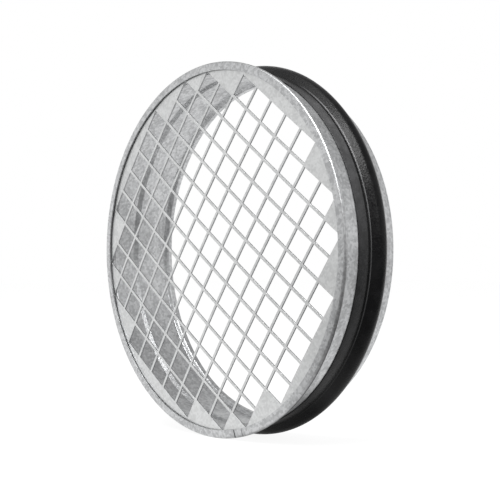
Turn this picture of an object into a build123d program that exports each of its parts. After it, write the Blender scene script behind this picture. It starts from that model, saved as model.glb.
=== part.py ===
"""Galvanised duct end cap: a collar that plugs into a round duct, a punched mesh plate and a gasket.

The axis of the cap lies along Y. The mesh faces -Y and the spigot runs to +Y, into the duct.
The origin is on the axis, in the plane of the stop face that the end of the duct comes up to.
All lengths are in millimetres and all angles in degrees.
"""

import os
from math import cos, hypot, radians, sin

from build123d import *

# Duct and sheet
duct_bore = 160.0
duct_clearance = 0.6
sheet = 0.6
flange_bend = 1.1
joggle_bend = 0.8

# Hem, folded over the edge of the mesh plate
rim_reach = 4.05
hem_width = 3.75
hem_lift = 0.35
grip_clearance = 0.05
edge_clearance = 0.2

# Lap in the hem, where the two ends of the strip meet
lap_angle = -77.8
lap_width = 5.2
lap_sink = 0.15
slit_width = 0.5
slit_depth = 0.8

# Spigot, from the stop face to the turned-in end
band_length = 11.4
seat_ramp = 1.9
seat_depth = 1.2
seat_length = 9.2
guide_ramp = 2.5
guide_rise = 0.4
guide_length = 4.65
lead_ramp = 1.0
lead_step = 1.8
lead_length = 1.8

# Mesh plate
plate_sheet = 0.7
dome_rise = 2.85
dome_margin = 0.4
hole_pitch = 11.4
web_width = 1.25
hole_border = 5.3
lattice_turn = -35.1

# Gasket: lip heights are above the plain band
seat_clearance = 0.05
ramp_clearance = 0.35
lip_clearance = 0.1
front_lip_start = 9.7
front_lip_length = 5.45
front_lip_height = 0.35
front_lip_root = 0.65
tip_rounding = 0.1
groove_width = 1.1
groove_depth = 0.9
rear_lip_edge = 0.6
rear_lip_peak = 7.15
rear_lip_front = 6.1
rear_lip_back = 2.55
crown_rounding = 3.5
heel_height = 0.7

# Outside radii of the collar
band_radius = duct_bore / 2 - duct_clearance
seat_radius = band_radius - seat_depth
guide_radius = seat_radius + guide_rise
lead_radius = guide_radius - lead_step
rim_radius = band_radius + rim_reach

# Places along the axis
half = sheet / 2
fold_gap = plate_sheet + 2 * grip_clearance
fold_radius = (fold_gap + sheet) / 2
flange_y = -half
hem_y = flange_y - 2 * fold_radius
seat_start = band_length + seat_ramp
seat_end = seat_start + seat_length
guide_start = seat_end + guide_ramp
guide_end = guide_start + guide_length
lead_start = guide_end + lead_ramp
spigot_end = lead_start + lead_length

# Collar: one strip of sheet, drawn along its middle line and then given its thickness
hem_edge = rim_radius - hem_width
fold_centre = rim_radius - half - fold_radius
with BuildPart() as collar:
    with BuildSketch(Plane.XY):
        with BuildLine():
            hem = Line((hem_edge, hem_y - hem_lift), (fold_centre, hem_y))
            fold = ThreePointArc(
                hem @ 1,
                (fold_centre + fold_radius, hem_y + fold_radius),
                (fold_centre, flange_y),
            )
            FilletPolyline(
                fold @ 1,
                (band_radius - half, flange_y),
                (band_radius - half, band_length),
                (seat_radius - half, seat_start),
                (seat_radius - half, seat_end),
                (guide_radius - half, guide_start),
                (guide_radius - half, guide_end),
                (lead_radius - half, lead_start),
                (lead_radius - half, spigot_end),
                radius=[flange_bend] + [joggle_bend] * 6,
            )
            offset(amount=half, side=Side.BOTH)
        make_face()
    revolve(axis=Axis.Y)
    # The lap lies a little deeper than the hem, between two open slits
    hem_direction = hem % 0
    hem_middle = hem @ 0.5
    outward = Vector(cos(radians(lap_angle)), 0, sin(radians(lap_angle)))
    hem_along = outward * hem_direction.X + Vector(0, hem_direction.Y, 0)
    hem_normal = outward * hem_direction.Y - Vector(0, hem_direction.X, 0)
    lap_face = Plane(
        origin=outward * hem_middle.X + Vector(0, hem_middle.Y, 0) + hem_normal * half,
        x_dir=hem_along,
        z_dir=hem_normal,
    )
    with BuildSketch(lap_face.offset(-lap_sink)):
        Rectangle(2 * hem_width, lap_width)
    extrude(amount=sheet, mode=Mode.SUBTRACT)
    with BuildSketch(lap_face.offset(-slit_depth)):
        with GridLocations(0, lap_width, 1, 2):
            Rectangle(2 * hem_width, slit_width)
    extrude(amount=slit_depth + sheet, mode=Mode.SUBTRACT)
collar.part.label = "collar"

# Mesh plate: a flat edge in the hem, a shallow dome inside it and square holes on a turned lattice
plate_back = -sheet - grip_clearance
plate_front = plate_back - plate_sheet
plate_radius = rim_radius - sheet - fold_gap / 2 - edge_clearance
dome_radius = hem_edge - dome_margin
hole_side = hole_pitch - web_width
hole_reach = hem_edge - hole_border
hole_rows = int(hole_reach / hole_pitch)
steps = [hole_pitch * k for k in range(-hole_rows, hole_rows + 1)]
hole_centres = [(x, y) for x in steps for y in steps if hypot(x, y) <= hole_reach]
lattice_row = (cos(radians(lattice_turn)), 0, sin(radians(lattice_turn)))
lattice_plane = Plane(origin=(0, 0, 0), x_dir=lattice_row, z_dir=(0, -1, 0))
with BuildPart() as mesh_plate:
    with BuildSketch(Plane.XY):
        with BuildLine():
            front = TangentArc((0, plate_front - dome_rise), (dome_radius, plate_front), tangent=(1, 0))
            back = TangentArc((0, plate_back - dome_rise), (dome_radius, plate_back), tangent=(1, 0))
            Polyline(front @ 1, (plate_radius, plate_front), (plate_radius, plate_back), back @ 1)
            Line(front @ 0, back @ 0)
        make_face()
    revolve(axis=Axis.Y)
    with BuildSketch(lattice_plane):
        with Locations(*hole_centres):
            Rectangle(hole_side, hole_side)
    extrude(amount=dome_rise + plate_sheet - plate_front, mode=Mode.SUBTRACT)
mesh_plate.part.label = "mesh_plate"

# Gasket: a foot in the seat, a thin flat front lip over the plain band and a tall rounded rear lip
foot_radius = seat_radius + seat_clearance
under_lip = band_radius + lip_clearance
front_lip_end = front_lip_start + front_lip_length
groove_end = front_lip_end + groove_width
peak_y = groove_end + rear_lip_front
with BuildPart() as gasket:
    with BuildSketch(Plane.XY) as gasket_section:
        with BuildLine():
            Polyline(
                (foot_radius, seat_start + ramp_clearance),
                (under_lip, band_length + ramp_clearance),
                (under_lip, front_lip_start),
                (band_radius + front_lip_height, front_lip_start),
                (band_radius + front_lip_root, front_lip_end),
                (band_radius + front_lip_root - groove_depth, front_lip_end + groove_width / 2),
                (band_radius + rear_lip_edge, groove_end),
                (band_radius + rear_lip_peak, peak_y),
                (foot_radius + heel_height, peak_y + rear_lip_back),
                (foot_radius, seat_end - seat_clearance),
                close=True,
            )
        make_face()
        lip_tip = gasket_section.vertices().group_by(Axis.Y)[0]
        fillet(lip_tip, radius=tip_rounding)
        lip_peak = gasket_section.vertices().sort_by(Axis.X)[-1]
        fillet(lip_peak, radius=crown_rounding)
    revolve(axis=Axis.Y)
gasket.part.label = "gasket"

os.makedirs("parts", exist_ok=True)
export_step(collar.part, "parts/collar.step")
export_step(mesh_plate.part, "parts/mesh_plate.step")
export_step(gasket.part, "parts/gasket.step")
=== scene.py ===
"""Looks of a galvanised duct end cap: a folded collar, a punched mesh plate and a rubber gasket.

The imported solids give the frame. Each solid is replaced by a smooth piece of the same form, with the
folds, the lap in the hem and the moulded lines that the real one shows. The mesh faces -Y, the spigot
runs to +Y and +Z is up. Sizes of the pieces and their finishes are in millimetres, places and sizes in
the studio are in metres, and angles are in degrees.
"""

import logging
import math
from dataclasses import dataclass
from enum import Enum, IntEnum

import bmesh
import bpy
from mathutils import Matrix, Vector


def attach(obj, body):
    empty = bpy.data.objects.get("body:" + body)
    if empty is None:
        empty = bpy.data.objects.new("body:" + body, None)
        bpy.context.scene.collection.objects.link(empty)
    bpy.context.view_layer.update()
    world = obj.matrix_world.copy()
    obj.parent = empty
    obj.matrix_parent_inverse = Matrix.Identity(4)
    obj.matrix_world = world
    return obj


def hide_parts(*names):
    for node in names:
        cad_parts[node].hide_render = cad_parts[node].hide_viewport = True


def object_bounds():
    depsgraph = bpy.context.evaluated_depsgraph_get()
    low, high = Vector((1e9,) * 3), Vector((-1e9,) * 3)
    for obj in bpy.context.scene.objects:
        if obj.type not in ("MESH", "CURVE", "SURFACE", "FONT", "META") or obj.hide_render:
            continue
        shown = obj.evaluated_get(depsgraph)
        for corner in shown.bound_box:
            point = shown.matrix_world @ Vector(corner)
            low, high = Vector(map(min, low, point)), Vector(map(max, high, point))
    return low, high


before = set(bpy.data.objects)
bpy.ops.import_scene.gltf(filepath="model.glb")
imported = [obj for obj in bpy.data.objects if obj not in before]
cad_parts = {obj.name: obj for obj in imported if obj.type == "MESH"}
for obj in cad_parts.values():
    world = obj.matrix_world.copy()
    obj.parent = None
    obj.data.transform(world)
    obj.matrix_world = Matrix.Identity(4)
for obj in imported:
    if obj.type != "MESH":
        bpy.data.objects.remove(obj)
CAD_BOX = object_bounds()

MM = 0.001
MERGE_MM = 0.001
WHITE = "#ffffff"
# Number of the colour among the outputs of a Mix node
MIXED_COLOUR = 2
LOG = logging.getLogger("duct_end_cap")

Triple = tuple[float, float, float]
SectionLine = list[bmesh.types.BMVert | bmesh.types.BMEdge]


class Slot(Enum):
    """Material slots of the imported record."""

    STEEL = "galvanised_steel"
    RUBBER = "black_rubber"


class Side(Enum):
    """The two sides of a square hole, of the lap in the hem or of a slit."""

    LOW = -1
    HIGH = 1


class MixInput(IntEnum):
    """Inputs of a Mix node by number, because their names repeat for each type of data."""

    SHARE = 0
    NUMBER_A = 2
    NUMBER_B = 3
    COLOUR_A = 6
    COLOUR_B = 7


def linear(hex_colour: str) -> tuple[float, float, float, float]:
    """Turn an sRGB hex colour into a linear RGBA value.

    Args:
        hex_colour: Colour such as "#c0c1c2".

    Returns:
        The linear red, green, blue and an alpha of 1.
    """
    channels = [int(hex_colour[i : i + 2], 16) / 255 for i in (1, 3, 5)]
    values = [c / 12.92 if c <= 0.04045 else ((c + 0.055) / 1.055) ** 2.4 for c in channels]
    return (*values, 1.0)


def per_metre(size_mm: float) -> float:
    """Scale of a texture whose features are to be this many millimetres across."""
    return 1.0 / (size_mm * MM)


def add_node(
    tree: bpy.types.NodeTree,
    kind: str,
    links: dict[str | int, object] | None = None,
    **settings: object,
) -> bpy.types.Node:
    """Add one node with its settings and links.

    Args:
        tree: Node tree that takes the node.
        kind: Blender's node type, such as "ShaderNodeTexNoise".
        links: Input names or numbers, each with the output socket that feeds it or its plain value.
        **settings: Attributes of the node itself.

    Returns:
        The new node.
    """
    node = tree.nodes.new(kind)
    for name, value in settings.items():
        setattr(node, name, value)
    for name, value in (links or {}).items():
        if isinstance(value, bpy.types.NodeSocket):
            tree.links.new(value, node.inputs[name])
        else:
            node.inputs[name].default_value = value
    return node


def start_material(name: str) -> tuple[bpy.types.Material, bpy.types.NodeTree, bpy.types.Node]:
    """Start a node material.

    Args:
        name: Name of the finish.

    Returns:
        The material, its node tree and its shader.
    """
    material = bpy.data.materials.new(name)
    material.use_nodes = True
    tree = material.node_tree
    return material, tree, tree.nodes["Principled BSDF"]


@dataclass(frozen=True)
class GalvanisedSheet:
    """Hot-dip galvanised sheet: dull zinc with faint soft crystals, cloudy patches and fine roll grain, and
    painted shade in the crease behind the fold.
    """

    name: str
    light: str = "#d2d3d4"
    dark: str = "#b3b4b5"
    tone_range: tuple[float, float] = (0.32, 0.66)
    crystal_mm: float = 1.0
    crystal_softness: float = 0.5
    cloud_mm: float = 7.0
    cloud_detail: float = 5.0
    cloud_breakup: float = 0.62
    cloud_share: float = 0.55
    cloud_low: float = 0.3
    cloud_high: float = 0.7
    roughness_low: float = 0.34
    roughness_high: float = 0.44
    grain_mm: float = 0.5
    grain_detail: float = 2.0
    grain_strength: float = 0.3
    grain_height_mm: float = 0.02
    # Painted shade: a dark line in the crease behind the fold, on the lower half where the crease lies in
    # shade
    painted_shade: str = "#3c3c3d"
    painted_shade_along: float = -0.5
    painted_shade_inner: float = 0.4
    painted_shade_outer: float = 1.3
    painted_shade_top: float = 10.0
    painted_shade_full: float = -35.0
    painted_shade_fading: float = -66.0
    painted_shade_bottom: float = -79.0
    painted_shade_reach_from: float = 81.0
    painted_shade_reach_to: float = 82.0

    def material(self) -> bpy.types.Material:
        """Build the node material of the zinc.

        Returns:
            A material that reads Object coordinates.
        """
        # To the eye it is a dull silver grey with a fine speckle and soft, broken reflections
        material, tree, shader = start_material(self.name)
        shader.inputs["Metallic"].default_value = 1.0
        place = add_node(tree, "ShaderNodeTexCoord").outputs["Object"]
        # Zinc crystals, each a little lighter or darker than its neighbours and soft at its edges
        crystals = add_node(
            tree,
            "ShaderNodeTexVoronoi",
            {"Vector": place, "Scale": per_metre(self.crystal_mm), "Smoothness": self.crystal_softness},
            feature="SMOOTH_F1",
        )
        tone = add_node(tree, "ShaderNodeSeparateColor", {"Color": crystals.outputs["Color"]})
        # Cloudy patches from the zinc bath and from handling
        clouds = add_node(
            tree,
            "ShaderNodeTexNoise",
            {
                "Vector": place,
                "Scale": per_metre(self.cloud_mm),
                "Detail": self.cloud_detail,
                "Roughness": self.cloud_breakup,
            },
        )
        mixed = add_node(
            tree,
            "ShaderNodeMix",
            {
                MixInput.SHARE: self.cloud_share,
                MixInput.NUMBER_A: tone.outputs["Red"],
                MixInput.NUMBER_B: clouds.outputs["Fac"],
            },
            data_type="FLOAT",
        )
        ramp = add_node(tree, "ShaderNodeValToRGB", {"Fac": mixed.outputs[0]})
        tones = zip(ramp.color_ramp.elements, self.tone_range, (self.dark, self.light))
        for stop, position, colour in tones:
            stop.position = position
            stop.color = linear(colour)
        # Painted shade mixed into the zinc colour along the back of the fold
        shaded = add_node(
            tree,
            "ShaderNodeMix",
            {
                MixInput.SHARE: self.painted_shade_share(tree, place),
                MixInput.COLOUR_A: ramp.outputs["Color"],
                MixInput.COLOUR_B: linear(self.painted_shade),
            },
            data_type="RGBA",
        )
        tree.links.new(shaded.outputs[MIXED_COLOUR], shader.inputs["Base Color"])
        rough = add_node(
            tree,
            "ShaderNodeMapRange",
            {
                "Value": clouds.outputs["Fac"],
                "From Min": self.cloud_low,
                "From Max": self.cloud_high,
                "To Min": self.roughness_high,
                "To Max": self.roughness_low,
            },
        )
        tree.links.new(rough.outputs["Result"], shader.inputs["Roughness"])
        # Fine grain of the rolls, drawn coarser than it is so that it shows
        grain = add_node(
            tree,
            "ShaderNodeTexNoise",
            {"Vector": place, "Scale": per_metre(self.grain_mm), "Detail": self.grain_detail},
        )
        bump = add_node(
            tree,
            "ShaderNodeBump",
            {
                "Height": grain.outputs["Fac"],
                "Strength": self.grain_strength,
                "Distance": self.grain_height_mm * MM,
            },
        )
        tree.links.new(bump.outputs["Normal"], shader.inputs["Normal"])
        return material

    def painted_shade_share(self, tree: bpy.types.NodeTree, place: bpy.types.NodeSocket) -> bpy.types.NodeSocket:
        """Draw where shade is painted: a dark line along the back of the fold, on its lower half.

        Args:
            tree: Node tree of the zinc.
            place: Object coordinates.

        Returns:
            The share of painted shade, from 0 to 1.
        """
        axes = add_node(tree, "ShaderNodeSeparateXYZ", {"Vector": place})
        offset = add_node(
            tree,
            "ShaderNodeMath",
            {0: axes.outputs["Y"], 1: self.painted_shade_along * MM},
            operation="SUBTRACT",
        )
        distance = add_node(tree, "ShaderNodeMath", {0: offset.outputs[0]}, operation="ABSOLUTE")
        across = add_node(tree, "ShaderNodeVectorMath", {0: place, 1: (1.0, 0.0, 1.0)}, operation="MULTIPLY")
        reach = add_node(tree, "ShaderNodeVectorMath", {0: across.outputs["Vector"]}, operation="LENGTH")
        # Painted shade: the line is narrow along the axis, lies on the lower half, stops short of the bottom
        # and keeps to the rim.
        # Each mask has the value where the sheet is unshaded and the one where its painted shade is full
        masks = (
            (distance.outputs[0], self.painted_shade_outer, self.painted_shade_inner),
            (axes.outputs["Z"], self.painted_shade_top, self.painted_shade_full),
            (axes.outputs["Z"], self.painted_shade_bottom, self.painted_shade_fading),
            (reach.outputs["Value"], self.painted_shade_reach_from, self.painted_shade_reach_to),
        )
        shares = [
            add_node(
                tree,
                "ShaderNodeMapRange",
                {"Value": value, "From Min": unshaded * MM, "From Max": shaded * MM},
            ).outputs["Result"]
            for value, unshaded, shaded in masks
        ]
        share = shares[0]
        for mask in shares[1:]:
            product = add_node(tree, "ShaderNodeMath", {0: share, 1: mask}, operation="MULTIPLY")
            share = product.outputs[0]
        return share


@dataclass(frozen=True)
class ShearedEdge:
    """Punched or sheared edge of the sheet: torn bare steel, duller and darker than the zinc."""

    name: str
    light: str = "#bbbcbd"
    dark: str = "#98999a"
    tone_range: tuple[float, float] = (0.35, 0.65)
    tear_mm: float = 0.9
    tear_detail: float = 3.0
    roughness: float = 0.55

    def material(self) -> bpy.types.Material:
        """Build the node material of the bare edge.

        Returns:
            A material that reads Object coordinates.
        """
        # To the eye it is a thin grey outline round each hole, a little uneven and without shine
        material, tree, shader = start_material(self.name)
        shader.inputs["Metallic"].default_value = 1.0
        shader.inputs["Roughness"].default_value = self.roughness
        place = add_node(tree, "ShaderNodeTexCoord").outputs["Object"]
        # Tears and smears that the punch leaves along the wall of a hole, drawn coarse so that they show
        tears = add_node(
            tree,
            "ShaderNodeTexNoise",
            {"Vector": place, "Scale": per_metre(self.tear_mm), "Detail": self.tear_detail},
        )
        ramp = add_node(tree, "ShaderNodeValToRGB", {"Fac": tears.outputs["Fac"]})
        tones = zip(ramp.color_ramp.elements, self.tone_range, (self.dark, self.light))
        for stop, position, colour in tones:
            stop.position = position
            stop.color = linear(colour)
        tree.links.new(ramp.outputs["Color"], shader.inputs["Base Color"])
        return material


@dataclass(frozen=True)
class MouldedRubber:
    """Black moulded rubber: satin skin with fine grit and a little grey dust, with painted light on the
    front lip and a painted highlight along one edge.
    """

    name: str
    black: str = "#0b0b0c"
    dusty: str = "#161617"
    tone_range: tuple[float, float] = (0.42, 0.75)
    dust_mm: float = 5.0
    dust_detail: float = 6.0
    dust_breakup: float = 0.65
    dust_low: float = 0.3
    dust_high: float = 0.7
    # Shares by height of the painted light on the front lip and of the painted edge highlight
    dust_and_light_heights: tuple[float, ...] = (-75.0, 0.0, 45.0, 62.0, 72.0)
    dust_and_light_shares: tuple[float, ...] = (0.02, 0.3, 1.0, 1.0, 0.0)
    # Painted light on the front lip, lighter in patches where dust lies
    front_dust_and_light: str = "#5c5c5d"
    front_dust_and_light_end: float = 14.65
    front_dust_and_light_least: float = 0.45
    # Painted highlight along the sharp edge behind the groove
    painted_edge_highlight: str = "#747475"
    edge_highlight_along: float = 16.35
    edge_highlight_width: float = 0.3
    roughness_low: float = 0.22
    roughness_high: float = 0.32
    specular_level: float = 0.2
    grit_mm: float = 0.8
    grit_detail: float = 3.0
    grit_strength: float = 0.6
    grit_height_mm: float = 0.25

    def material(self) -> bpy.types.Material:
        """Build the node material of the rubber.

        Returns:
            A material that reads Object coordinates.
        """
        # To the eye it is near black with a soft satin highlight, greyer where dust lies and where light is
        # painted on the front lip
        material, tree, shader = start_material(self.name)
        shader.inputs["Specular IOR Level"].default_value = self.specular_level
        place = add_node(tree, "ShaderNodeTexCoord").outputs["Object"]
        dust = add_node(
            tree,
            "ShaderNodeTexNoise",
            {
                "Vector": place,
                "Scale": per_metre(self.dust_mm),
                "Detail": self.dust_detail,
                "Roughness": self.dust_breakup,
            },
        ).outputs["Fac"]
        ramp = add_node(tree, "ShaderNodeValToRGB", {"Fac": dust})
        tones = zip(ramp.color_ramp.elements, self.tone_range, (self.black, self.dusty))
        for stop, position, colour in tones:
            stop.position = position
            stop.color = linear(colour)
        # Painted light: the front lip is painted lighter, most on its upper half where light falls, broken
        # into patches of dust
        axes = add_node(tree, "ShaderNodeSeparateXYZ", {"Vector": place})
        dust_and_light = self.dust_and_light_share(tree, axes.outputs["Z"])
        front = add_node(
            tree,
            "ShaderNodeMath",
            {0: axes.outputs["Y"], 1: self.front_dust_and_light_end * MM},
            operation="LESS_THAN",
        )
        patchy = add_node(
            tree,
            "ShaderNodeMapRange",
            {
                "Value": dust,
                "From Min": self.dust_low,
                "From Max": self.dust_high,
                "To Min": self.front_dust_and_light_least,
                "To Max": 1.0,
            },
        )
        on_front = add_node(tree, "ShaderNodeMath", {0: front.outputs[0], 1: dust_and_light}, operation="MULTIPLY")
        in_patches = add_node(
            tree,
            "ShaderNodeMath",
            {0: on_front.outputs[0], 1: patchy.outputs["Result"]},
            operation="MULTIPLY",
        )
        lips = add_node(
            tree,
            "ShaderNodeMix",
            {
                MixInput.SHARE: in_patches.outputs[0],
                MixInput.COLOUR_A: ramp.outputs["Color"],
                MixInput.COLOUR_B: linear(self.front_dust_and_light),
            },
            data_type="RGBA",
        )
        # Painted highlight: the sharp edge behind the groove is painted light grey, most on the upper half
        edge_line = add_node(
            tree,
            "ShaderNodeMath",
            {0: axes.outputs["Y"], 1: self.edge_highlight_along * MM, 2: self.edge_highlight_width / 2 * MM},
            operation="COMPARE",
        )
        on_edge = add_node(tree, "ShaderNodeMath", {0: edge_line.outputs[0], 1: dust_and_light}, operation="MULTIPLY")
        with_edge_highlight = add_node(
            tree,
            "ShaderNodeMix",
            {
                MixInput.SHARE: on_edge.outputs[0],
                MixInput.COLOUR_A: lips.outputs[MIXED_COLOUR],
                MixInput.COLOUR_B: linear(self.painted_edge_highlight),
            },
            data_type="RGBA",
        )
        tree.links.new(with_edge_highlight.outputs[MIXED_COLOUR], shader.inputs["Base Color"])
        rough = add_node(
            tree,
            "ShaderNodeMapRange",
            {
                "Value": dust,
                "From Min": self.dust_low,
                "From Max": self.dust_high,
                "To Min": self.roughness_low,
                "To Max": self.roughness_high,
            },
        )
        tree.links.new(rough.outputs["Result"], shader.inputs["Roughness"])
        # Grit of the moulded skin, drawn coarser than it is so that it shows
        grit = add_node(
            tree,
            "ShaderNodeTexNoise",
            {"Vector": place, "Scale": per_metre(self.grit_mm), "Detail": self.grit_detail},
        )
        bump = add_node(
            tree,
            "ShaderNodeBump",
            {
                "Height": grit.outputs["Fac"],
                "Strength": self.grit_strength,
                "Distance": self.grit_height_mm * MM,
            },
        )
        tree.links.new(bump.outputs["Normal"], shader.inputs["Normal"])
        return material

    def dust_and_light_share(self, tree: bpy.types.NodeTree, height: bpy.types.NodeSocket) -> bpy.types.NodeSocket:
        """Draw the share of dust and painted light at each height: most on the upper half, where light
        falls, none at the very top.

        Args:
            tree: Node tree of the rubber.
            height: Height over the axis.

        Returns:
            The share of dust and painted light, from 0 to 1.
        """
        lowest = self.dust_and_light_heights[0]
        highest = self.dust_and_light_heights[-1]
        raised = add_node(
            tree,
            "ShaderNodeMapRange",
            {"Value": height, "From Min": lowest * MM, "From Max": highest * MM},
        )
        dust_and_light = add_node(tree, "ShaderNodeValToRGB", {"Fac": raised.outputs["Result"]})
        stops = dust_and_light.color_ramp.elements
        while len(stops) < len(self.dust_and_light_heights):
            stops.new(1.0)
        for stop, stop_height, share in zip(stops, self.dust_and_light_heights, self.dust_and_light_shares):
            stop.position = (stop_height - lowest) / (highest - lowest)
            stop.color = (share, share, share, 1.0)
        return dust_and_light.outputs["Color"]


@dataclass(frozen=True)
class Corner:
    """One corner of a section line, with the radius of its bend."""

    radius: float
    along: float
    bend: float = 0.0
    segments: int = 5


def section_line(bm: bmesh.types.BMesh, corners: list[Corner], closed: bool) -> SectionLine:
    """Draw a section line in the XY plane and round its corners.

    Args:
        bm: Mesh that takes the line.
        corners: Corners in order, with X as distance from the axis and Y as place along it.
        closed: Whether the last corner joins the first.

    Returns:
        The vertices and edges of the line.
    """
    points = [bm.verts.new((c.radius * MM, c.along * MM, 0.0)) for c in corners]
    pairs = list(zip(points, points[1:]))
    if closed:
        pairs.append((points[-1], points[0]))
    for start, end in pairs:
        bm.edges.new((start, end))
    for number, (corner, point) in enumerate(zip(corners, points)):
        if corner.bend <= 0.0:
            continue
        # Reach along the edges at which an arc of the wanted radius starts
        before = corners[number - 1]
        after = corners[(number + 1) % len(corners)]
        way_in = Vector((corner.radius - before.radius, corner.along - before.along))
        way_out = Vector((after.radius - corner.radius, after.along - corner.along))
        reach = corner.bend * MM * math.tan(way_in.angle(way_out) / 2)
        bmesh.ops.bevel(
            bm,
            geom=[point],
            affect="VERTICES",
            offset=reach,
            offset_type="OFFSET",
            segments=corner.segments,
            profile=0.5,
            material=-1,
        )
    return bm.verts[:] + bm.edges[:]


def halve_bend(before: Corner, corner: Corner, after: Corner) -> list[Corner]:
    """Draw one sharp bend as two on the same arc, because a bevel is only round where a line turns little.

    Args:
        before: Corner in front of the bend.
        corner: The bend itself.
        after: Corner behind the bend.

    Returns:
        The two corners that take its place.
    """
    point = Vector((corner.radius, corner.along))
    way_back = (Vector((before.radius, before.along)) - point).normalized()
    way_on = (Vector((after.radius, after.along)) - point).normalized()
    half_turn = (math.pi - way_back.angle(way_on)) / 2
    reach = corner.bend * (math.tan(half_turn) - math.tan(half_turn / 2))
    places = (point + way_back * reach, point + way_on * reach)
    return [Corner(place.x, place.y, corner.bend, corner.segments // 2) for place in places]


def turn_section(bm: bmesh.types.BMesh, line: SectionLine, steps: int) -> None:
    """Spin a section line once round the axis of the cap and turn its faces outwards.

    Args:
        bm: Mesh that holds the line.
        line: Vertices and edges of the line.
        steps: Number of steps in the full turn.
    """
    bmesh.ops.spin(
        bm,
        geom=line,
        cent=(0, 0, 0),
        axis=(0, 1, 0),
        angle=math.tau,
        steps=steps,
        use_merge=True,
    )
    bmesh.ops.remove_doubles(bm, verts=bm.verts[:], dist=MERGE_MM * MM)
    bmesh.ops.recalc_face_normals(bm, faces=bm.faces[:])


def finish_piece(
    bm: bmesh.types.BMesh, name: str, materials: list[bpy.types.Material]
) -> bpy.types.Object:
    """Turn a bmesh into a smooth piece that stands for the CAD node of the same name.

    Args:
        bm: Mesh of the piece, which is freed.
        name: Name of the CAD node.
        materials: Finish of the piece, and after it the finish of its sheared edges, if any.

    Returns:
        The new object, riding on the root body.
    """
    for face in bm.faces:
        face.smooth = True
    mesh = bpy.data.meshes.new(name + "_piece")
    bm.to_mesh(mesh)
    bm.free()
    for material in materials:
        mesh.materials.append(material)
    piece = bpy.data.objects.new(name + "_piece", mesh)
    bpy.context.scene.collection.objects.link(piece)
    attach(piece, "root")
    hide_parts(name)
    return piece


def give_thickness(piece: bpy.types.Object, sheet_mm: float, offset: float) -> None:
    """Give a sheet surface its thickness, with the sheared finish on its edges.

    Args:
        piece: Object whose mesh is one surface of the sheet.
        sheet_mm: Thickness of the sheet.
        offset: 0 puts the wall on both sides of the surface, -1 puts it behind.
    """
    wall = piece.modifiers.new("Sheet", "SOLIDIFY")
    wall.thickness = sheet_mm * MM
    wall.offset = offset
    wall.use_even_offset = True
    wall.material_offset_rim = 1


def ease_edges(piece: bpy.types.Object, width_mm: float, angle_deg: float) -> None:
    """Round the sharp edges of a piece a little and keep its broad faces clean.

    Args:
        piece: Object to finish.
        width_mm: Width of the rounding.
        angle_deg: Edges that turn by more than this are rounded.
    """
    bevel = piece.modifiers.new("Eased edges", "BEVEL")
    bevel.width = width_mm * MM
    bevel.segments = 2
    bevel.limit_method = "ANGLE"
    bevel.angle_limit = math.radians(angle_deg)
    bevel.harden_normals = True


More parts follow.
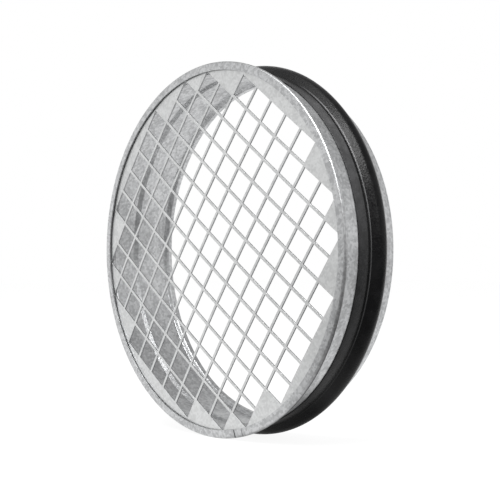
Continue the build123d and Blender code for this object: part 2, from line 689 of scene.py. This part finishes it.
@dataclass
class Collar:
    """The folded sheet ring: hem, plain band, gasket seat, guide band and turned-in end."""

    sheet: float = 0.6
    band_radius: float = 79.4
    seat_radius: float = 78.2
    guide_radius: float = 78.6
    lead_radius: float = 76.8
    rim_radius: float = 83.45
    hem_edge: float = 79.7
    hem_lift: float = 0.35
    fold_radius: float = 0.7
    fold_segments: int = 8
    flange_bend: float = 1.1
    flange_segments: int = 6
    joggle_bend: float = 0.8
    band_end: float = 11.4
    seat_start: float = 13.3
    seat_end: float = 22.5
    guide_start: float = 25.0
    guide_end: float = 29.65
    lead_start: float = 30.65
    spigot_end: float = 32.45
    lap_angle: float = -77.8
    lap_width: float = 5.2
    lap_sink: float = 0.15
    slit_width: float = 0.5
    edge_ease: float = 0.12
    ease_angle: float = 50.0
    steps: int = 360

    def build(self, finish: GalvanisedSheet, edge: ShearedEdge) -> bpy.types.Object:
        """Model the collar and dress it.

        Args:
            finish: The zinc finish.
            edge: The finish of the sheared edges.

        Returns:
            The collar's object.
        """
        bm = bmesh.new()
        half = self.sheet / 2
        front = -half - 2 * self.fold_radius
        rim = self.rim_radius - half
        band = self.band_radius - half
        seat = self.seat_radius - half
        guide = self.guide_radius - half
        lead = self.lead_radius - half
        corners = [
            Corner(self.hem_edge, front - self.hem_lift),
            Corner(rim, front, self.fold_radius, self.fold_segments),
            Corner(rim, -half, self.fold_radius, self.fold_segments),
            Corner(band, -half, self.flange_bend, self.flange_segments),
            Corner(band, self.band_end, self.joggle_bend),
            Corner(seat, self.seat_start, self.joggle_bend),
            Corner(seat, self.seat_end, self.joggle_bend),
            Corner(guide, self.guide_start, self.joggle_bend),
            Corner(guide, self.guide_end, self.joggle_bend),
            Corner(lead, self.lead_start, self.joggle_bend),
            Corner(lead, self.spigot_end + half),
        ]
        line = section_line(bm, corners, closed=False)
        turn_section(bm, line, self.steps)
        self.cut_lap(bm, front)
        piece = finish_piece(bm, "collar", [finish.material(), edge.material()])
        give_thickness(piece, self.sheet, 0.0)
        ease_edges(piece, self.edge_ease, self.ease_angle)
        return piece

    def cut_lap(self, bm: bmesh.types.BMesh, front: float) -> None:
        """Cut the two slits of the lap through the hem and press the tongue between them in.

        Args:
            bm: Middle surface of the collar.
            front: Triple of the hem's middle line along the axis.
        """
        turn = math.radians(self.lap_angle)
        outward = Vector((math.cos(turn), 0.0, math.sin(turn)))
        across = Vector((-math.sin(turn), 0.0, math.cos(turn)))
        near_hem = (front + self.fold_radius) * MM
        reach = 2 * self.lap_width * MM

        def in_hem(face: bmesh.types.BMFace) -> bool:
            """Whether a face is on the hem's front, near the lap."""
            middle = face.calc_center_median()
            return middle.y < near_hem and middle.dot(outward) > 0 and abs(middle.dot(across)) < reach

        half_lap = self.lap_width / 2 * MM
        half_slit = self.slit_width / 2 * MM
        for side in Side:
            for edge in Side:
                faces = [face for face in bm.faces if in_hem(face)]
                parts = {part for face in faces for part in (*face.verts, *face.edges)}
                place = across * (side.value * half_lap + edge.value * half_slit)
                bmesh.ops.bisect_plane(bm, geom=faces + list(parts), plane_co=place, plane_no=across)
        slits = []
        tongue = set()
        for face in bm.faces:
            if not in_hem(face):
                continue
            middle = abs(face.calc_center_median().dot(across))
            if abs(middle - half_lap) < half_slit:
                slits.append(face)
            elif middle < half_lap:
                tongue.update(face.verts)
        for vert in tongue:
            depth = (near_hem - vert.co.y) / (self.fold_radius * MM)
            vert.co.y += self.lap_sink * MM * min(max(depth, 0.0), 1.0)
        bmesh.ops.delete(bm, geom=slits, context="FACES")


@dataclass
class MeshPlate:
    """The punched disc: square holes on a turned lattice, slightly domed to the front."""

    radius: float = 82.25
    front: float = -1.35
    sheet: float = 0.7
    dome_radius: float = 79.3
    dome_rise: float = 2.85
    pitch: float = 11.4
    web: float = 1.25
    hole_reach: float = 74.4
    lattice_turn: float = -35.1
    edge_ease: float = 0.12
    ease_angle: float = 40.0
    segments: int = 360

    def build(self, finish: GalvanisedSheet, edge: ShearedEdge) -> bpy.types.Object:
        """Model the plate and dress it.

        Args:
            finish: The zinc finish.
            edge: The finish of the punched edges.

        Returns:
            The plate's object.
        """
        bm = bmesh.new()
        bmesh.ops.create_circle(bm, cap_ends=True, segments=self.segments, radius=self.radius * MM)
        bmesh.ops.rotate(bm, verts=bm.verts[:], cent=(0, 0, 0), matrix=Matrix.Rotation(math.pi / 2, 3, "X"))
        self.punch(bm)
        # The dome is so shallow that a parabola lies on the solid's arc
        for vert in bm.verts:
            share = min(math.hypot(vert.co.x, vert.co.z) / (self.dome_radius * MM), 1.0)
            vert.co.y = (self.front - self.dome_rise * (1.0 - share * share)) * MM
        bmesh.ops.recalc_face_normals(bm, faces=bm.faces[:])
        if bm.faces[0].normal.y > 0:
            bmesh.ops.reverse_faces(bm, faces=bm.faces[:])
        piece = finish_piece(bm, "mesh_plate", [finish.material(), edge.material()])
        give_thickness(piece, self.sheet, -1.0)
        ease_edges(piece, self.edge_ease, self.ease_angle)
        return piece

    def punch(self, bm: bmesh.types.BMesh) -> None:
        """Cut the disc along the edges of all holes and take out the holes.

        Args:
            bm: The flat disc.
        """
        turn = math.radians(self.lattice_turn)
        row = Vector((math.cos(turn), 0.0, math.sin(turn)))
        column = Vector((-math.sin(turn), 0.0, math.cos(turn)))
        half_hole = (self.pitch - self.web) / 2
        last = int(self.hole_reach / self.pitch)
        for direction in (row, column):
            for number in range(-last, last + 1):
                for side in Side:
                    place = direction * ((number * self.pitch + side.value * half_hole) * MM)
                    parts = bm.verts[:] + bm.edges[:] + bm.faces[:]
                    bmesh.ops.bisect_plane(bm, geom=parts, plane_co=place, plane_no=direction)
        holes = []
        for face in bm.faces:
            middle = face.calc_center_median() / MM
            across = middle.dot(row)
            along = middle.dot(column)
            hole_x = round(across / self.pitch) * self.pitch
            hole_y = round(along / self.pitch) * self.pitch
            inside = max(abs(across - hole_x), abs(along - hole_y)) < half_hole
            if inside and math.hypot(hole_x, hole_y) <= self.hole_reach:
                holes.append(face)
        bmesh.ops.delete(bm, geom=holes, context="FACES")


@dataclass
class Gasket:
    """The moulded ring: a foot in the seat, a thin flat front lip and a tall rounded rear lip."""

    foot_radius: float = 78.25
    band_radius: float = 79.4
    under_lip: float = 79.5
    foot_start: float = 13.65
    foot_end: float = 22.45
    ramp_start: float = 11.75
    front_start: float = 9.7
    front_end: float = 15.15
    front_height: float = 0.35
    front_root: float = 0.65
    groove_width: float = 1.1
    groove_depth: float = 0.9
    lip_edge: float = 0.6
    lip_peak: float = 7.15
    lip_front: float = 6.1
    lip_back: float = 2.55
    crown_rounding: float = 3.5
    crown_segments: int = 24
    heel_height: float = 0.7
    tip_rounding: float = 0.1
    tip_segments: int = 3
    edge_rounding: float = 0.1
    edge_segments: int = 2
    steps: int = 360

    def build(self, finish: MouldedRubber) -> bpy.types.Object:
        """Model the gasket and dress it.

        Args:
            finish: The rubber finish.

        Returns:
            The gasket's object.
        """
        bm = bmesh.new()
        tip = self.band_radius + self.front_height
        root = self.band_radius + self.front_root
        groove_end = self.front_end + self.groove_width
        peak_along = groove_end + self.lip_front
        edge = Corner(self.band_radius + self.lip_edge, groove_end, self.edge_rounding, self.edge_segments)
        peak = Corner(self.band_radius + self.lip_peak, peak_along, self.crown_rounding, self.crown_segments)
        heel = Corner(self.foot_radius + self.heel_height, peak_along + self.lip_back)
        corners = [
            Corner(self.foot_radius, self.foot_start),
            Corner(self.under_lip, self.ramp_start),
            Corner(self.under_lip, self.front_start, self.tip_rounding, self.tip_segments),
            Corner(tip, self.front_start, self.tip_rounding, self.tip_segments),
            Corner(root, self.front_end, self.edge_rounding, self.edge_segments),
            Corner(root - self.groove_depth, self.front_end + self.groove_width / 2),
            edge,
            *halve_bend(edge, peak, heel),
            heel,
            Corner(self.foot_radius, self.foot_end),
        ]
        line = section_line(bm, corners, closed=True)
        turn_section(bm, line, self.steps)
        return finish_piece(bm, "gasket", [finish.material()])


@dataclass(frozen=True)
class SoftBox:
    """One square soft box that faces the object, with its power in watts."""

    name: str
    place: Triple
    width: float
    power: float

    def hang(self) -> None:
        """Hang the box in the scene."""
        data = bpy.data.lights.new(self.name, "AREA")
        data.shape = "SQUARE"
        data.size = self.width
        data.energy = self.power
        lamp = bpy.data.objects.new(self.name, data)
        lamp.location = self.place
        lamp.rotation_euler = (-Vector(self.place)).to_track_quat("-Z", "Y").to_euler()
        bpy.context.scene.collection.objects.link(lamp)


@dataclass
class Studio:
    """Floor, white background, soft lamps and the camera."""

    floor_z: float
    floor_size: float = 6.0
    floor_cells: int = 8
    floor_tint: str = "#d8d8d8"
    floor_roughness: float = 0.9
    floor_white: float = 1.15
    floor_glow: float = 0.8
    camera_place: Triple = (0.5020, -0.4091, -0.0018)
    camera_turn: Triple = (90.157, -0.13, 49.53)
    camera_clip: float = 0.01
    lens_mm: float = 104.75
    sensor_mm: float = 36.0
    viewer_side: Triple = (0.76, -0.65, 0.0)
    dim_floor_from: float = 0.03
    dim_floor_to: float = 0.09
    shadow_place: tuple[float, float] = (0.026, 0.022)
    shadow_from: float = 0.016
    shadow_to: float = 0.036
    shadow_dark: float = 0.3
    dim_room: float = 0.25
    dim_room_from: float = 0.45
    dim_room_to: float = 0.9
    dim_ceiling: float = 0.45
    ceiling_from: float = 0.15
    ceiling_to: float = 0.85
    soft_light: float = 0.5
    # The main box hangs high up on the viewer's right, with weaker ones below and above it
    boxes: tuple[SoftBox, ...] = (
        SoftBox("top_right_box", (0.42, -0.90, 1.13), 0.7, 18.0),
        SoftBox("low_right_box", (1.2, -0.68, 0.6), 0.6, 2.3),
        SoftBox("overhead_box", (-0.2, -0.45, 1.4), 0.6, 2.3),
    )

    def build(self) -> None:
        """Set up the whole studio."""
        self.set_camera()
        self.lay_floor()
        self.set_world()
        for box in self.boxes:
            box.hang()
        bpy.context.scene.view_settings.view_transform = "Standard"

    def set_camera(self) -> None:
        """Place the camera at the photograph's viewing angle."""
        data = bpy.data.cameras.new("camera")
        data.lens = self.lens_mm
        data.sensor_width = self.sensor_mm
        data.clip_start = self.camera_clip
        camera = bpy.data.objects.new("camera", data)
        camera.location = self.camera_place
        camera.rotation_euler = [math.radians(angle) for angle in self.camera_turn]
        bpy.context.scene.collection.objects.link(camera)
        bpy.context.scene.camera = camera

    def lay_floor(self) -> None:
        """Lay the floor that the cap stands on."""
        bm = bmesh.new()
        cells = self.floor_cells
        bmesh.ops.create_grid(bm, x_segments=cells, y_segments=cells, size=self.floor_size / 2)
        bmesh.ops.translate(bm, verts=bm.verts[:], vec=(0, 0, self.floor_z))
        mesh = bpy.data.meshes.new("floor")
        bm.to_mesh(mesh)
        bm.free()
        mesh.materials.append(self.floor_material())
        floor = bpy.data.objects.new("floor", mesh)
        bpy.context.scene.collection.objects.link(floor)

    def floor_material(self) -> bpy.types.Material:
        """Build a pale floor that looks white, keeps a faint shadow and is dim towards the viewer.

        Returns:
            A material that reads Object coordinates.
        """
        material, tree, shader = start_material("pale_floor")
        shader.inputs["Base Color"].default_value = linear(self.floor_tint)
        shader.inputs["Roughness"].default_value = self.floor_roughness
        rays = add_node(tree, "ShaderNodeLightPath")
        place = add_node(tree, "ShaderNodeTexCoord").outputs["Object"]
        # In the metal the floor is white behind the cap and dim in front of it
        towards = add_node(
            tree,
            "ShaderNodeVectorMath",
            {0: place, 1: self.viewer_side},
            operation="DOT_PRODUCT",
        )
        dimmed = add_node(
            tree,
            "ShaderNodeMapRange",
            {
                "Value": towards.outputs["Value"],
                "From Min": self.dim_floor_from,
                "From Max": self.dim_floor_to,
                "To Min": 1.0,
                "To Max": self.dim_room,
            },
        )
        # Close to where the cap stands a painted shadow darkens the floor as the metal sees it
        near = add_node(
            tree,
            "ShaderNodeVectorMath",
            {0: place, 1: (*self.shadow_place, self.floor_z)},
            operation="DISTANCE",
        )
        shadow = add_node(
            tree,
            "ShaderNodeMapRange",
            {
                "Value": near.outputs["Value"],
                "From Min": self.shadow_from,
                "From Max": self.shadow_to,
                "To Min": self.shadow_dark,
                "To Max": 1.0,
            },
        )
        mirrored = add_node(
            tree,
            "ShaderNodeMath",
            {0: dimmed.outputs["Result"], 1: shadow.outputs["Result"]},
            operation="MULTIPLY",
        )
        strength = add_node(
            tree,
            "ShaderNodeMix",
            {
                MixInput.SHARE: rays.outputs["Is Camera Ray"],
                MixInput.NUMBER_A: mirrored.outputs[0],
                MixInput.NUMBER_B: self.floor_white,
            },
            data_type="FLOAT",
        )
        glow = add_node(
            tree,
            "ShaderNodeEmission",
            {"Color": linear(WHITE), "Strength": strength.outputs[0]},
        )
        # The camera sees mostly glow and some true shadow, and the metal sees glow alone
        share = add_node(
            tree,
            "ShaderNodeMath",
            {0: rays.outputs["Is Camera Ray"], 1: self.floor_glow},
            operation="MULTIPLY",
        ).outputs[0]
        for ray in ("Is Glossy Ray", "Is Transmission Ray"):
            share = add_node(
                tree,
                "ShaderNodeMath",
                {0: share, 1: rays.outputs[ray]},
                operation="MAXIMUM",
            ).outputs[0]
        mixed = add_node(tree, "ShaderNodeMixShader", {0: share, 1: shader.outputs[0], 2: glow.outputs[0]})
        tree.links.new(mixed.outputs[0], tree.nodes["Material Output"].inputs["Surface"])
        return material

    def set_world(self) -> None:
        """Show white to the camera, and in the metal white with a dim ceiling and a dim viewer's side."""
        world = bpy.data.worlds.new("studio")
        bpy.context.scene.world = world
        world.use_nodes = True
        tree = world.node_tree
        tree.nodes.clear()
        rays = add_node(tree, "ShaderNodeLightPath")
        way = add_node(tree, "ShaderNodeTexCoord").outputs["Generated"]
        height = add_node(tree, "ShaderNodeSeparateXYZ", {"Vector": way})
        ceiling = add_node(
            tree,
            "ShaderNodeMapRange",
            {
                "Value": height.outputs["Z"],
                "From Min": self.ceiling_from,
                "From Max": self.ceiling_to,
                "To Min": 1.0,
                "To Max": self.dim_ceiling,
            },
        )
        towards = add_node(
            tree,
            "ShaderNodeVectorMath",
            {0: way, 1: self.viewer_side},
            operation="DOT_PRODUCT",
        )
        room = add_node(
            tree,
            "ShaderNodeMapRange",
            {
                "Value": towards.outputs["Value"],
                "From Min": self.dim_room_from,
                "From Max": self.dim_room_to,
                "To Min": 1.0,
                "To Max": self.dim_room,
            },
        )
        mirrored = add_node(
            tree,
            "ShaderNodeMath",
            {0: ceiling.outputs["Result"], 1: room.outputs["Result"]},
            operation="MULTIPLY",
        )
        lighting = add_node(
            tree,
            "ShaderNodeMix",
            {
                MixInput.SHARE: rays.outputs["Is Glossy Ray"],
                MixInput.NUMBER_A: self.soft_light,
                MixInput.NUMBER_B: mirrored.outputs[0],
            },
            data_type="FLOAT",
        )
        shown = add_node(
            tree,
            "ShaderNodeMath",
            {0: rays.outputs["Is Camera Ray"], 1: rays.outputs["Is Transmission Ray"]},
            operation="MAXIMUM",
        )
        strength = add_node(
            tree,
            "ShaderNodeMix",
            {
                MixInput.SHARE: shown.outputs[0],
                MixInput.NUMBER_A: lighting.outputs[0],
                MixInput.NUMBER_B: 1.0,
            },
            data_type="FLOAT",
        )
        sky = add_node(
            tree,
            "ShaderNodeBackground",
            {"Color": linear(WHITE), "Strength": strength.outputs[0]},
        )
        add_node(tree, "ShaderNodeOutputWorld", {"Surface": sky.outputs[0]})


def main() -> None:
    """Build the pieces in order, then the studio."""
    logging.basicConfig(level=logging.INFO)
    zinc = GalvanisedSheet("galvanised_sheet")
    plate_zinc = GalvanisedSheet("punched_galvanised_sheet", light="#dedfdf", dark="#d0d1d1")
    edge = ShearedEdge("sheared_edge")
    rubber = MouldedRubber("moulded_rubber")
    pieces = (Collar().build(zinc, edge), MeshPlate().build(plate_zinc, edge), Gasket().build(rubber))
    for piece in pieces:
        LOG.info("built %s with %d faces", piece.name, len(piece.data.polygons))
    Studio(floor_z=CAD_BOX[0][2]).build()


if __name__ == "__main__":
    main()
